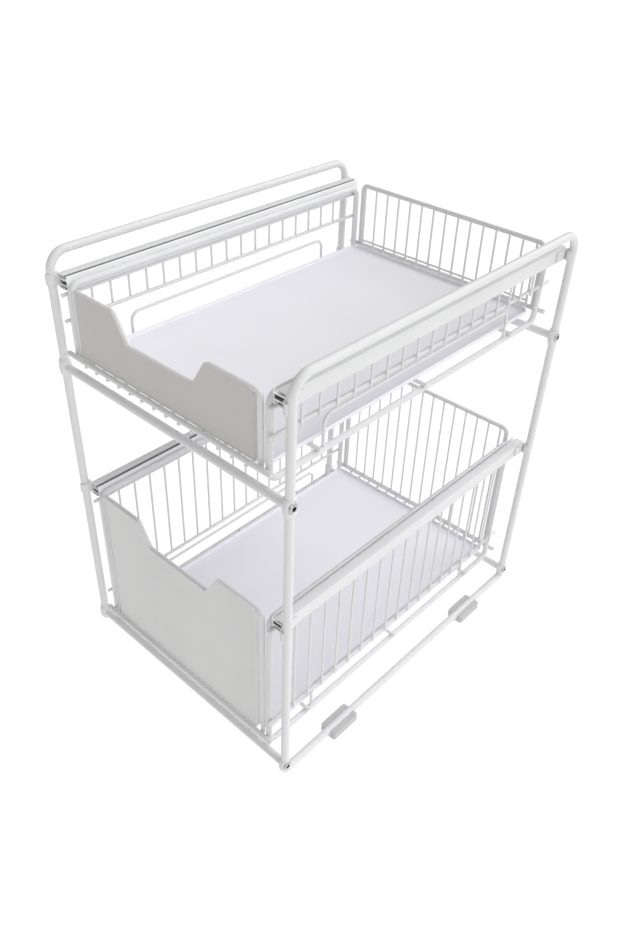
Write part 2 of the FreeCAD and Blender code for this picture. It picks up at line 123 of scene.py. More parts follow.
class OrganizerFrameSizes(bpy.types.PropertyGroup):
    """Sizes of the tube frame, its screws, pads and slides."""

    top_bend: length("Top bend", "Bend radius of the side frames at the top", 18.0)
    bottom_bend: length("Bottom bend", "Bend radius of the side frames at the bottom", 7.0)
    knuckle_swell: length("Knuckle swell", "How far the tube swells at a bar joint", 2.0)
    knuckle_reach: length("Knuckle reach", "Half height of the swelling at a bar joint", 9.0)
    knuckle_seat: length("Knuckle seat", "Distance of the flat under a screw head from the tube's axis", 2.6)
    joint_gap: length("Joint gap", "Gap between a cross bar and the upright that it meets", 0.05)
    head_radius: length("Head radius", "Radius of a screw head", 4.9)
    head_height: length("Head height", "Height of a screw head", 2.4)
    head_edge: length("Head edge", "Height of the straight edge under the dome of a screw head", 0.4)
    socket_flats: length("Socket flats", "Width of the hex socket between its flats", 4.0)
    socket_depth: length("Socket depth", "Depth of the hex socket", 1.6)
    shank_radius: length("Shank radius", "Radius of a screw shank", 2.0)
    shank_length: length("Shank length", "Screw shank under the head", 20.0)
    pad_corner: length("Pad corner", "Corner radius of a foot pad in plan", 2.6)
    pad_edge: length("Pad edge", "Rounding of a foot pad's edges", 0.8)
    sheet: length("Rail sheet", "Sheet thickness of the slides", 1.2)
    rail_lip: length("Rail lip", "Width of the lips of a rail", 1.0)
    rail_round: length("Rail rounding", "Outer rounding of the rolled corners of a rail", 0.5)
    ball_size: length("Ball size", "Ball diameter with its play", 2.7)


class OrganizerDrawerSizes(bpy.types.PropertyGroup):
    """Sizes of the drawer wires and liners."""

    wire_edge: length("Wire end", "Rounding of the cut end of a straight wire", 0.4)
    loop_bend: length("Loop bend", "Bend radius of the side loops", 10.0)
    guard_bend: length("Guard bend", "Bend radius of the guard wires", 9.0)
    back_bend: length("Back bend", "Bend radius of the back frames", 6.0)
    front_bend: length("Front bend", "Bend radius of the front frames", 6.0)
    notch_top: length("Notch top", "Width of the finger notch at the top edge of the panel", 115.0)
    notch_floor: length("Notch floor", "Width of the finger notch at its floor, on the panel", 82.0)
    notch_depth: length("Notch depth", "Depth of the finger notch", 26.0)
    grid_wire: length("Grid wire", "Diameter of the long wires of a side grid", 3.5)
    rung: length("Rung", "Diameter of a rung", 2.2)
    rung_tail: length("Rung tail", "Rung end below the low wire's axis", 3.0)
    rung_first: length("First rung", "First rung behind the front end of the long wires", 32.5)
    rung_end: length("Last rung", "Least distance of the last rung to the rear end of the long wires", 8.2)
    rung_pitch: length("Rung pitch", "Distance between the rungs of a side grid", 20.4)
    back_pitch: length("Back pitch", "Distance between the rungs of a back grid", 15.8)
    back_tie: length("Back tie", "Tie wire above the lower ends of the back rungs", 9.0)
    support_wire: length("Support wire", "Diameter of the wires under the floor", 4.0)
    support_spacing: length("Support spacing", "Distance between the wires under the floor", 141.0)
    support_short: length("Support end", "Support wire end inside the end of the cross wires", 3.0)
    cross_wire: length("Cross wire", "Diameter of the cross wires at the ends of the floor", 5.0)
    floor_wire: length("Floor wire", "Diameter of a floor wire", 3.0)
    floor_pitch: length("Floor pitch", "Distance between the floor wires", 16.0)
    floor_inset: length("Floor wire end", "Floor wire end inside the end of the floor grid", 0.5)
    floor_margin: length("Floor margin", "Least distance of a floor wire to the end of a cross wire", 23.0)
    weld_sink: length("Weld sink", "How far crossing wires sink into each other", 0.3)
    bead: length("Weld bead", "Half width of a weld bead", 1.5)
    liner_sheet: length("Liner sheet", "Thickness of a liner", 1.2)
    liner_corner: length("Liner corner", "Corner radius of a liner", 8.0)
    liner_fillet: length("Liner fillet", "Rounding between the floor and the rim of a liner", 1.0)


class OrganizerColours(bpy.types.PropertyGroup):
    """Colours of the finishes."""

    coat: colour("Coat", "White powder coat of the wires and tubes", (0.765, 0.765, 0.77))
    # Painted shade and light: both panels are one paint; the upper tone is darker by painted shade, the lower
    # lighter by painted light from the floor
    upper_panel: colour("Upper panel", "Paint of the upper front panel", (0.585, 0.565, 0.55))
    lower_panel: colour("Lower panel", "Paint of the lower front panel", (0.725, 0.725, 0.72))
    zinc: colour("Zinc", "Zinc plate of the inner rails", (0.9, 0.905, 0.91))
    screw: colour("Screw", "Steel of the screws", (0.52, 0.52, 0.53))
    # Painted shade: the near black stands for the shade inside the hex sockets
    socket: colour("Socket", "Dark steel inside the hex sockets", (0.03, 0.03, 0.032))
    cage: colour("Cage", "Stamped steel of the ball cages", (0.18, 0.18, 0.185))
    # Painted shade: this tone darkens the faces inside the rail channels
    grease: colour("Grease", "Greased steel inside the rails", (0.33, 0.33, 0.335))
    ball: colour("Ball", "Polished steel of the balls", (0.8, 0.8, 0.81))
    liner: colour("Liner", "Pale plastic of the liners", (0.875, 0.87, 0.92))
    pad: colour("Pad", "Grey plastic of the foot pads", (0.54, 0.54, 0.545))
    floor: colour("Floor", "Studio floor", (0.12, 0.12, 0.12))


class OrganizerStage(bpy.types.PropertyGroup):
    """View and light."""

    azimuth: angle("Azimuth", "Camera direction round the object, from the front to the right", 41.7097)
    elevation: angle("Elevation", "Camera direction above the floor", 36.6346)
    roll: angle("Roll", "Camera roll", 2.1369)
    place: FloatVectorProperty(name="Place", description="Camera place", default=(0.4847, -0.5533, 0.7504),
                               subtype="TRANSLATION", unit="LENGTH", size=3)
    lens: amount("Lens", "Focal length in millimetres on a 36 mm sensor", 32.56)
    key_azimuth: angle("Key azimuth", "Direction of the key light round the object", 165.0)
    key_elevation: angle("Key elevation", "Height of the key light", 42.0)
    side_azimuth: angle("Side azimuth", "Direction of the side light round the object", 80.0)
    side_elevation: angle("Side elevation", "Height of the side light", 32.0)
    key_softness: angle("Key softness", "Width of the key light in the sky", 50.0)
    side_softness: angle("Side softness", "Width of the side light in the sky", 40.0)
    key_strength: amount("Key", "Strength of the key light", 1.62)
    fill_strength: amount("Fill", "Strength of the side light", 0.7)
    sky_low: amount("Dark side", "Brightness of the surroundings at their dark side", 0.2)
    sky_high: amount("Bright side", "Brightness of the surroundings at their bright side", 0.58)
    sky_azimuth: angle("Sky azimuth", "Direction of the bright side round the object", 100.0)
    sky_elevation: angle("Sky elevation", "Height of the bright side", 40.0)
    floor_glow: amount("Floor glow", "Own light of the studio floor", 0.93)


# Surfaces: a shell is (points, quads, caps), a closed surface of a grid of quads and end caps


def quarter(steps):
    """Angles of a quarter turn, with both ends."""
    return np.linspace(0, math.pi / 2, steps)


def full_turn(sides):
    """Angles of the points round a closed ring."""
    return np.linspace(0, 2 * math.pi, sides, endpoint=False)


def grid_quads(rows, columns, wrap_rows=False):
    """Corner numbers of the quads between rings of points; wrapped rows join the last ring to the first."""
    i, j = np.meshgrid(np.arange(rows - (not wrap_rows)), np.arange(columns), indexing="ij")
    below, beside = (i + 1) % rows, (j + 1) % columns
    corners = (i * columns + j, i * columns + beside, below * columns + beside, below * columns + j)
    return np.stack(corners, -1).reshape(-1, 4)


def signed_volume(points, quads, caps):
    """Sum of the tetrahedra between the origin and every triangle of a closed shell."""
    fans = [np.stack([np.full(len(c) - 2, c[0]), c[1:-1], c[2:]], -1) for c in caps]
    triangles = np.concatenate([quads[:, [0, 1, 2]], quads[:, [0, 2, 3]]] + fans)
    a, b, c = (points[triangles[:, k]] for k in range(3))
    return np.einsum("ij,ij->i", a, np.cross(b, c)).sum() / 6


def shell(points, quads, caps=()):
    """A closed shell whose faces point outwards."""
    caps = [np.asarray(c) for c in caps]
    points = np.asarray(points, float).reshape(-1, 3)
    if signed_volume(points - points.mean(0), quads, caps) < 0:
        quads, caps = quads[:, ::-1], [c[::-1] for c in caps]
    return points, quads, caps


def ring_shell(rings, wrap=False):
    """Shell from rings of points, rings x columns x 3; open stacks are capped at both ends."""
    rows, columns = rings.shape[:2]
    caps = [] if wrap else [np.arange(columns)[::-1], np.arange(columns) + (rows - 1) * columns]
    return shell(rings, grid_quads(rows, columns, wrap_rows=wrap), caps)


def copies(part, offsets):
    """The same shell at every offset."""
    points, quads, caps = part
    shift = np.asarray(offsets, float).reshape(-1, 1, 3)
    start = np.arange(len(shift)) * len(points)
    many = (points[None] + shift).reshape(-1, 3)
    faces = (quads[None] + start[:, None, None]).reshape(-1, quads.shape[1])
    return many, faces, [cap + first for first in start for cap in caps]


def joined(parts):
    """Several shells as one set of points and faces."""
    start = np.cumsum([0] + [len(p[0]) for p in parts[:-1]])
    points = np.concatenate([p[0] for p in parts])
    quads = np.concatenate([p[1] + s for p, s in zip(parts, start)])
    return points, quads, [cap + s for p, s in zip(parts, start) for cap in p[2]]


def rounded_path(corners, radii, steps, closed=False):
    """Path of straight runs joined by tangent arcs; an arc is the slerp of its two radii about its centre."""
    corners = np.asarray(corners, float)
    turns = range(len(corners)) if closed else range(1, len(corners) - 1)
    share = np.linspace(0, 1, steps)[:, None]
    runs = [] if closed else [corners[:1]]
    for turn, radius in zip(turns, radii):
        point = corners[turn]
        back = corners[turn - 1] - point
        ahead = corners[(turn + 1) % len(corners)] - point
        back, ahead = back / np.linalg.norm(back), ahead / np.linalg.norm(ahead)
        half = math.acos(np.clip(back @ ahead, -1, 1)) / 2
        middle = back + ahead
        centre = point + middle / np.linalg.norm(middle) * radius / math.sin(half)
        reach = radius / math.tan(half)
        first, last = point + back * reach - centre, point + ahead * reach - centre
        sweep = math.pi - 2 * half
        swing = np.sin((1 - share) * sweep) * first + np.sin(share * sweep) * last
        runs.append(centre + swing / math.sin(sweep))
    if not closed:
        runs.append(corners[-1:])
    return np.concatenate(runs)


def wire(path, normal, radius, sides, edge=0.0, closed=False):
    """Round wire along a flat path: path(s) + r(s) (cos a N + sin a (T x N)), N the path plane's normal.
    Open ends are cut flat and rounded by an arc of the edge size."""
    path = np.asarray(path, float)
    radii = np.broadcast_to(radius, len(path))
    if closed:
        tangent = np.roll(path, -1, 0) - np.roll(path, 1, 0)
    else:
        bow = quarter(END_RINGS)
        inward = edge * (1 - np.cos(bow))[:, None]
        narrow = radius - edge * (1 - np.sin(bow))
        head = (path[1] - path[0]) / np.linalg.norm(path[1] - path[0])
        tail = (path[-2] - path[-1]) / np.linalg.norm(path[-2] - path[-1])
        path = np.concatenate([path[0] + inward * head, path[1:-1], (path[-1] + inward * tail)[::-1]])
        radii = np.concatenate([narrow, radii[1:-1], narrow[::-1]])
        tangent = np.gradient(path, axis=0)
    tangent = tangent / np.linalg.norm(tangent, axis=1, keepdims=True)
    binormal = np.cross(tangent, normal)
    turn = full_turn(sides)[None, :, None]
    around = np.cos(turn) * np.asarray(normal) + np.sin(turn) * binormal[:, None]
    return ring_shell(path[:, None] + radii[:, None, None] * around, wrap=closed)


def straight(start, end, radius, sides, edge):
    """Straight wire between two points."""
    run = np.asarray(end, float) - np.asarray(start, float)
    normal = Z_AXIS if abs(run[2]) < np.abs(run).max() / 2 else X_AXIS
    return wire([start, end], normal, radius, sides, edge)


def beads(places, half_sizes):
    """Weld beads: flattened spheres, half size times (cos b cos a, cos b sin a, sin b).
    Their poles are small flats."""
    lift = np.radians(BEAD_LIFTS)[:, None]
    turn = full_turn(BEAD_SIDES)[None]
    ball = np.stack([np.cos(lift) * np.cos(turn), np.cos(lift) * np.sin(turn), np.sin(lift) + 0 * turn], -1)
    return copies(ring_shell(ball * np.asarray(half_sizes)), places)


def crossing(xs, ys, zs):
    """All points of a grid of places."""
    return np.stack(np.meshgrid(xs, ys, zs, indexing="ij"), -1).reshape(-1, 3)


def centred_row(half_width, pitch):
    """Places at an even pitch, centred, as many as fit in twice the half width."""
    gaps = int(2 * half_width / pitch)
    return (np.arange(gaps + 1) - gaps / 2) * pitch


def rounded_rectangle(half_x, half_y, radius, steps):
    """Points of a rectangle with round corners, counter-clockwise: corner centre + radius (cos a, sin a)."""
    turns = np.concatenate([quarter(steps) + corner * math.pi / 2 for corner in range(4)])
    signs = np.repeat(np.array(((1, 1), (-1, 1), (-1, -1), (1, -1))), steps, axis=0)
    centres = signs * np.array((half_x - radius, half_y - radius))
    return centres + radius * np.stack([np.cos(turns), np.sin(turns)], -1)


# Finishes


def new_finish(name):
    """Material with a principled shader; returns both, with one function that adds a wired node
    and one that feeds a value to the shader."""
    material = bpy.data.materials.new(name)
    material.use_nodes = True
    tree = material.node_tree
    shader = tree.nodes["Principled BSDF"]

    def add(kind, inputs=(), **values):
        node = tree.nodes.new(kind)
        for key, value in values.items():
            setattr(node, key, value)
        for key, value in dict(inputs).items():
            if isinstance(value, bpy.types.NodeSocket):
                tree.links.new(value, node.inputs[key])
            else:
                node.inputs[key].default_value = value
        return node

    def feed(socket, value):
        tree.links.new(value, shader.inputs[socket])

    return material, shader, add, feed


def grain(add, place, scale, detail, stretch=None):
    """Noise on object coordinates, cells per metre, stretched where the finish runs one way."""
    if stretch is not None:
        place = add("ShaderNodeMapping", {"Vector": place, "Scale": stretch}).outputs["Vector"]
    return add("ShaderNodeTexNoise", {"Vector": place, "Scale": scale, "Detail": detail}).outputs["Fac"]


def spread(add, value, low=0.0, high=1.0):
    """Noise value brought to a range."""
    least, most = NOISE_SPAN
    limits = {"Value": value, "From Min": least, "From Max": most, "To Min": low, "To Max": high}
    return add("ShaderNodeMapRange", limits).outputs["Result"]


def shade(add, value, base, dark):
    """Colour that wanders between the base and a slightly darker tone."""
    deep = tuple(c * dark for c in base)
    mix = add("ShaderNodeMix", data_type="RGBA")
    colours = [s for s in mix.inputs if s.type == "RGBA"]
    colours[0].default_value = (*deep, 1.0)
    colours[1].default_value = (*base, 1.0)
    mix.id_data.links.new(value, mix.inputs[0])
    return [s for s in mix.outputs if s.type == "RGBA"][0]


def finish(tone, rough, peel, depth, metal=0.0, gloss=0.5, dark=0.95, stretch=None):
    """Finish with fine relief (peel cells per metre), cloudy tone and uneven gloss.
    Its name isn't a slot's name, because the CAD frame's plain materials have those."""
    name = tone + "_finish"
    if name in bpy.data.materials:
        return bpy.data.materials[name]
    material, shader, add, feed = new_finish(name)
    place = add("ShaderNodeTexCoord").outputs["Object"]
    fine = grain(add, place, peel, FINE_DETAIL, stretch)
    broad = grain(add, place, CLOUD, CLOUD_DETAIL)
    smudge = grain(add, place, SMUDGE, FINE_DETAIL, stretch)
    base = getattr(bpy.context.scene.organizer_colours, tone)
    feed("Base Color", shade(add, spread(add, broad), base, dark))
    feed("Roughness", spread(add, smudge, *rough))
    relief = add("ShaderNodeBump", {"Height": fine, "Strength": RELIEF, "Distance": depth})
    feed("Normal", relief.outputs["Normal"])
    shader.inputs["Metallic"].default_value = metal
    shader.inputs["Specular IOR Level"].default_value = gloss
    return material


# Finish of every slot: colour, range of roughness, relief in cells per metre, its depth in metres, and more
FINISHES = {
    "white_coat": dict(tone="coat", rough=(0.36, 0.48), peel=900.0, depth=0.00012, gloss=0.3, dark=0.965),
    # The two panel finishes differ only by painted shade and light; the panels are one paint
    "upper_panel": dict(tone="upper_panel", rough=(0.42, 0.55), peel=1100.0, depth=0.0001, dark=0.96),
    "lower_panel": dict(tone="lower_panel", rough=(0.42, 0.55), peel=1100.0, depth=0.0001, dark=0.96),
    "slide_steel": dict(tone="zinc", rough=(0.36, 0.5), peel=700.0, depth=0.00008, metal=0.15,
                        stretch=(1.0, 0.04, 1.0)),
    # Painted shade on the faces inside the rails
    "rail_inside": dict(tone="grease", rough=(0.3, 0.45), peel=700.0, depth=0.00008, gloss=0.4, dark=0.85),
    "screw_steel": dict(tone="screw", rough=(0.18, 0.3), peel=1600.0, depth=0.00005, metal=1.0, dark=0.92),
    # Painted shade inside the hex sockets
    "screw_socket": dict(tone="socket", rough=(0.5, 0.7), peel=1600.0, depth=0.00005, gloss=0.2),
    "ball_steel": dict(tone="ball", rough=(0.06, 0.12), peel=2500.0, depth=0.00001, metal=1.0),
    "cage_steel": dict(tone="cage", rough=(0.38, 0.52), peel=900.0, depth=0.0001, metal=1.0, dark=0.85,
                       stretch=(1.0, 0.1, 1.0)),
    "liner_plastic": dict(tone="liner", rough=(0.48, 0.6), peel=1500.0, depth=0.00016, dark=0.975),
    "pad_plastic": dict(tone="pad", rough=(0.5, 0.65), peel=1200.0, depth=0.0002, dark=0.93),
}


def finish_for(slot):
    """The finish of one material slot."""
    return finish(**FINISHES[slot])


# Pieces


def add_piece(name, parts, body, nodes, slot="white_coat", crease=40.0):
    """One object from shells: it rides on a body, stands for CAD nodes and takes a slot's finish."""
    points, quads, caps = joined(parts)
    mesh = bpy.data.meshes.new(name)
    mesh.from_pydata(points.tolist(), [], quads.tolist() + [cap.tolist() for cap in caps])
    if mesh.validate():
        raise RuntimeError("faulty faces in " + name)
    mesh.shade_smooth()
    mesh.set_sharp_from_angle(angle=math.radians(crease))
    piece = bpy.data.objects.new(name, mesh)
    bpy.context.scene.collection.objects.link(piece)
    mesh.materials.append(finish_for(slot))
    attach(piece, body)
    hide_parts(*nodes)
    return piece


def second_finish(piece, slot, chosen):
    """Give the chosen faces of a piece another finish."""
    piece.data.materials.append(finish_for(slot))
    piece.data.polygons.foreach_set("material_index", np.asarray(chosen, np.int32))


def dress(node, slot):
    """Give a CAD node that stays its finish."""
    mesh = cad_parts[node].data
    mesh.materials.clear()
    mesh.materials.append(finish_for(slot))


def corners_of(node):
    """Lowest and highest corner of a CAD node as arrays."""
    low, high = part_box(node)
    return np.array(low), np.array(high)


def upright_loop(node):
    """Axis corners of a loop of tube that fills a node's box, and the tube's radius.
    The corners are front foot, front top, rear top and rear foot."""
    low, high = corners_of(node)
    radius = (high[0] - low[0]) / 2
    x = low[0] + radius
    (front, foot), (rear, top) = low[1:] + radius, high[1:] - radius
    return np.array([(x, front, foot), (x, front, top), (x, rear, top), (x, rear, foot)]), radius


def bar_places():
    """Axis of every cross bar: y and z."""
    boxes = np.array([corners_of(stem + "_cross_bar") for stem in BARS])
    return boxes.mean(axis=1)[:, 1:]


def swollen_tube(path, radius, sizes):
    """Tube loop that swells at the bar joints: r(d) = r + swell sqrt(1 - (d / reach)^2), d to the joint.
    Its outer side is pressed flat there: at most seat + (r + swell - seat) (d / reach)^4 from the axis.
    Rings on a sine spacing are added to the upright runs there, above their lower bends."""
    joints = bar_places()
    turns = path.reshape(4, BEND_STEPS, 3)
    front, rear = turns[0][-1], turns[3][0]
    least_z = min(front[2], rear[2]) + MM / 2
    ripple = sizes.knuckle_reach * np.sin(np.linspace(-math.pi / 2, math.pi / 2, KNUCKLE_RINGS))
    pieces = []
    for turn, upright in zip(turns, (front, None, rear, None)):
        pieces.append(turn)
        if upright is None:
            continue
        z = np.concatenate([place[1] + ripple for place in joints if abs(place[0] - upright[1]) < radius])
        z = np.sort(z[z > least_z])[::1 if upright is front else -1]
        pieces.append(np.stack([upright[0] + 0 * z, upright[1] + 0 * z, z], -1))
    path = np.concatenate(pieces)
    far = np.linalg.norm(path[:, None, 1:] - joints[None], axis=2).min(1) / sizes.knuckle_reach
    radii = radius + sizes.knuckle_swell * np.sqrt(np.clip(1 - far ** 2, 0, 1))
    points, quads, caps = wire(path, X_AXIS, radii, TUBE_SIDES, closed=True)
    axis_x = path[0, 0]
    widest = radius + sizes.knuckle_swell
    seat = sizes.knuckle_seat + (widest - sizes.knuckle_seat) * np.clip(far, 0, 1) ** 4
    out = (points[:, 0] - axis_x) * np.sign(axis_x)
    points[:, 0] = axis_x + np.sign(axis_x) * np.minimum(out, np.repeat(seat, TUBE_SIDES))
    return points, quads, caps


def upright_place():
    """Axis distance of the uprights from the middle, and their radius."""
    low, high = corners_of("right_side_frame")
    return (low[0] + high[0]) / 2, (high[0] - low[0]) / 2


def coped_bar(y, z, radius, sizes):
    """Round bar whose ends follow the uprights: x(a) = upright - sqrt((R + gap)^2 - (r cos a)^2).
    Shrinking rings on the same formula close each end."""
    axis_x, upright_r = upright_place()
    turn = full_turn(TUBE_SIDES)[None]
    scale = np.array(BAR_CAP + BAR_CAP[::-1])[:, None]
    side = np.repeat((-1, 1), len(BAR_CAP))[:, None]
    out_y = scale * radius * np.cos(turn)
    reach = axis_x - np.sqrt((upright_r + sizes.joint_gap) ** 2 - out_y ** 2)
    return ring_shell(np.stack([side * reach, y + out_y, z + scale * radius * np.sin(turn)], -1))


def screw_rings(sizes):
    """Screw along +X from its seat: rings (out, radius) from the shank tip over the dome into the socket.
    The socket's radius follows a hexagon: r(a) = half flats / cos(a - nearest flat)."""
    turn = full_turn(SCREW_SIDES)
    flat = math.pi / 3
    hexagon = sizes.socket_flats / 2 / np.cos((turn + flat / 2) % flat - flat / 2)
    dome = quarter(DOME_RINGS)
    rise = sizes.head_edge + (sizes.head_height - sizes.head_edge) * np.sin(dome)
    flare = sizes.head_radius * np.cos(dome) ** DOME_POWER
    keep = flare > sizes.socket_flats * DOME_RIM
    rise, flare = rise[keep], flare[keep]
    tip, shank, head = -sizes.shank_length, sizes.shank_radius, sizes.head_radius
    outs = np.concatenate([(tip, tip + SHANK_CHAMFER, 0.0, 0.0, HEAD_BREAK), rise])
    radii = np.concatenate([(shank - SHANK_CHAMFER, shank, shank, head - HEAD_BREAK, head), flare])
    lip = rise[-1] + SOCKET_LIP
    floor = lip - sizes.socket_depth
    outs = np.concatenate([outs, (lip, lip - SOCKET_CHAMFER, floor, floor - SOCKET_CONE)])
    radii = np.concatenate([radii[:, None] + 0 * turn, hexagon * np.array(SOCKET_CUT)[:, None]])
    return outs[:, None] + 0 * turn, radii, turn


def pad_profile(half_width, height, groove, axis_z, edge):
    """Closed outline of a foot pad across the tube: sole, two flanks and the round groove for the tube."""
    lip = math.asin((height - axis_z) / groove)
    arc = np.linspace(lip, -math.pi - lip, PAD_BED_STEPS)
    bed = np.stack([groove * np.cos(arc), axis_z + groove * np.sin(arc)], -1)
    bow = quarter(PAD_EDGE_STEPS)
    shoulder = np.stack([half_width - edge + edge * np.cos(bow), height - edge + edge * np.sin(bow)], -1)
    foot = np.stack([half_width - edge + edge * np.sin(bow), edge - edge * np.cos(bow)], -1)
    mirror = np.array((-1, 1))
    return np.concatenate([foot, shoulder, bed, (shoulder * mirror)[::-1], (foot * mirror)[::-1]])


def channel(width, height, sheet, lip, lip_drop, gap=0.0):
    """Corner points of a C-channel: web at zero, flanges to the width, lips that turn in by the drop.
    A gap moves the flanges inside the web's ends, and their lips then turn out."""
    top = height / 2
    out = top - gap
    inn = out - sheet
    if gap:
        half = [(sheet, inn), (width, inn), (width, out + lip_drop), (width - lip, out + lip_drop),
                (width - lip, out), (sheet, out), (sheet, top)]
    else:
        half = [(sheet, inn), (width - lip, inn), (width - lip, inn - lip_drop), (width, inn - lip_drop),
                (width, out)]
    half.append((0.0, top))
    return half + [(x, -z) for x, z in reversed(half)]


def rail_section(kind, width, height, sizes):
    """Corner points of a rail, and the least depth and the half height of its faces with painted shade.
    The lips of an outer rail and the inside of an inner rail carry painted shade, which darkens the rail's
    hollow."""
    if kind == "outer":
        points = channel(width, height, sizes.sheet, sizes.rail_lip, OUTER_LIP_DROP)
        return points, width - sizes.rail_lip, (height - sizes.sheet) / 2
    gap = sizes.sheet + sizes.ball_size
    points = channel(width, height, sizes.sheet, sizes.rail_lip, INNER_LIP_DROP, gap)
    return points, sizes.sheet, height / 2 - gap - sizes.sheet


# Operators


class ORGANIZER_OT_side_frames(bpy.types.Operator):
    """Build the two closed tube loops, swollen where the cross bars are screwed on"""

    bl_idname = "organizer.side_frames"
    bl_label = "Side frames"

    def execute(self, context):
        sizes = context.scene.organizer_frame
        for side in SIDES:
            node = side + "_side_frame"
            corners, radius = upright_loop(node)
            radii = [sizes.bottom_bend, sizes.top_bend, sizes.top_bend, sizes.bottom_bend]
            path = rounded_path(corners, radii, BEND_STEPS, closed=True)
            add_piece(side + "_tube_loop", [swollen_tube(path, radius, sizes)], "frame", [node])
        return {"FINISHED"}


class ORGANIZER_OT_cross_bars(bpy.types.Operator):
    """Build the four coped bars between the uprights"""

    bl_idname = "organizer.cross_bars"
    bl_label = "Cross bars"

    def execute(self, context):
        sizes = context.scene.organizer_frame
        for stem, (y, z) in zip(BARS, bar_places()):
            node = stem + "_cross_bar"
            low, high = corners_of(node)
            bar = coped_bar(y, z, (high[2] - low[2]) / 2, sizes)
            add_piece(stem + "_bar", [bar], "frame", [node])
        return {"FINISHED"}


class ORGANIZER_OT_screws(bpy.types.Operator):
    """Build eight button-head screws, their heads on the uprights' flats, their sockets near black as painted
    shade
    """

    bl_idname = "organizer.screws"
    bl_label = "Screws"

    def execute(self, context):
        sizes = context.scene.organizer_frame
        outs, radii, turn = screw_rings(sizes)
        seat = upright_place()[0] + sizes.knuckle_seat
        places = np.insert(bar_places(), 0, 0.0, axis=1)
        parts = []
        for side in SIDES.values():
            rings = np.stack([side * (seat + outs), radii * np.cos(turn), radii * np.sin(turn)], -1)
            parts.append(copies(ring_shell(rings), places))
        screws = add_piece("bar_screws", parts, "frame", ["crossbar_screws"], "screw_steel", crease=35.0)
        screw_count = len(places) * len(SIDES)
        rows, columns = radii.shape
        # The socket faces and the socket floors take the painted shade
        socket = np.repeat(np.arange(rows - 1) > rows - len(SOCKET_CUT), columns)
        ends = np.tile((False, True), screw_count)
        second_finish(screws, "screw_socket", np.concatenate([np.tile(socket, screw_count), ends]))
        return {"FINISHED"}


class ORGANIZER_OT_foot_pads(bpy.types.Operator):
    """Build the clip-on pads: their outline runs along the tube and narrows in plan at both
    ends by the corner arc; what lies within the waist, such as the groove, keeps its width"""

    bl_idname = "organizer.foot_pads"
    bl_label = "Foot pads"

    def execute(self, context):
        sizes = context.scene.organizer_frame
        upright_r = upright_place()[1]
        tube_z = corners_of("right_side_frame")[0][2] + upright_r
        corner, waist = sizes.pad_corner, upright_r + PAD_WAIST
        bow = quarter(PAD_RINGS)
        narrow = corner * (1 - np.cos(bow))
        for end, side in product(ENDS, SIDES):
            stem = end + "_" + side
            node = stem + "_foot_pad"
            low, high = corners_of(node)
            half, middle = (high - low) / 2, (high + low) / 2
            outline = pad_profile(half[0], high[2] - low[2], upright_r + sizes.joint_gap, tube_z - low[2],
                                  sizes.pad_edge)
            ends = half[1] - corner + corner * np.sin(bow)
            along = np.concatenate([-ends[::-1], ends])[:, None]
            width = half[0] - np.concatenate([narrow[::-1], narrow])[:, None]
            reach = np.abs(outline[:, 0])[None]
            wide = waist + (reach - waist) * (width - waist) / (half[0] - waist)
            x = np.sign(outline[:, 0]) * np.where(reach > waist, wide, reach)
            rings = np.stack([middle[0] + x, middle[1] + along + 0 * x, low[2] + outline[:, 1] + 0 * x], -1)
            add_piece(stem + "_pad", [ring_shell(rings)], "frame", [node], "pad_plastic", crease=30.0)
        return {"FINISHED"}


class ORGANIZER_OT_slides(bpy.types.Operator):
    """Build the rails, a rounded channel outline carried along the drawer's travel,
    and finish their brackets, ball cages and balls"""

    bl_idname = "organizer.slides"
    bl_label = "Slides"

    def execute(self, context):
        sizes = context.scene.organizer_frame
        for tier, side, kind in product(TIERS, SIDES, ("outer", "inner")):
            stem = tier + "_" + side + "_" + kind
            low, high = corners_of(stem + "_rail")
            points, deep, bore = rail_section(kind, high[0] - low[0], high[2] - low[2], sizes)
            rounding = [RAIL_FINE] * len(points)
            web = len(points) // 2
            rounding[web - 1] = rounding[web] = sizes.rail_round
            flat = np.insert(points, 1, 0.0, axis=1)
            outline = rounded_path(flat, rounding, RAIL_BEND_STEPS, closed=True)[:, [0, 2]]
            inward = -SIDES[side] if kind == "outer" else SIDES[side]
            x = (low[0] if inward > 0 else high[0]) + inward * outline[:, 0]
            z = (low[2] + high[2]) / 2 + outline[:, 1]
            ends = np.array((low[1], high[1]))[:, None]
            rings = np.stack([x + 0 * ends, ends + 0 * x, z + 0 * ends], -1)
            body, slot = ("frame", "white_coat") if kind == "outer" else (tier + "_drawer", "slide_steel")
            slide = add_piece(stem + "_slide", [ring_shell(rings)], body, [stem + "_rail"], slot, crease=30.0)
            middles = (outline + np.roll(outline, -1, axis=0)) / 2
            # The faces inside the channel take the painted shade
            shaded_faces = (middles[:, 0] > deep - RAIL_FINE) & (np.abs(middles[:, 1]) < bore + SHADE_PLAY)
            second_finish(slide, "rail_inside", np.append(shaded_faces, (False, False)))
        for tier, side in product(TIERS, SIDES):
            stem = tier + "_" + side
            dress(stem + "_rail_brackets", "white_coat")
            dress(stem + "_ball_cage", "cage_steel")
            dress(stem + "_slide_balls", "ball_steel")
        return {"FINISHED"}


class ORGANIZER_OT_side_loops(bpy.types.Operator):
    """Build the thick loops of the drawer sides, closed and round at the corners"""

    bl_idname = "organizer.side_loops"
    bl_label = "Side loops"

    def execute(self, context):
        sizes = context.scene.organizer_drawer
        for tier, side in product(TIERS, SIDES):
            stem = tier + "_" + side
            corners, radius = upright_loop(stem + "_side_loop")
            path = rounded_path(corners, [sizes.loop_bend] * 4, BEND_STEPS, closed=True)
            loop = wire(path, X_AXIS, radius, LOOP_SIDES, closed=True)
            add_piece(stem + "_loop", [loop], tier + "_drawer", [stem + "_side_loop"])
        return {"FINISHED"}


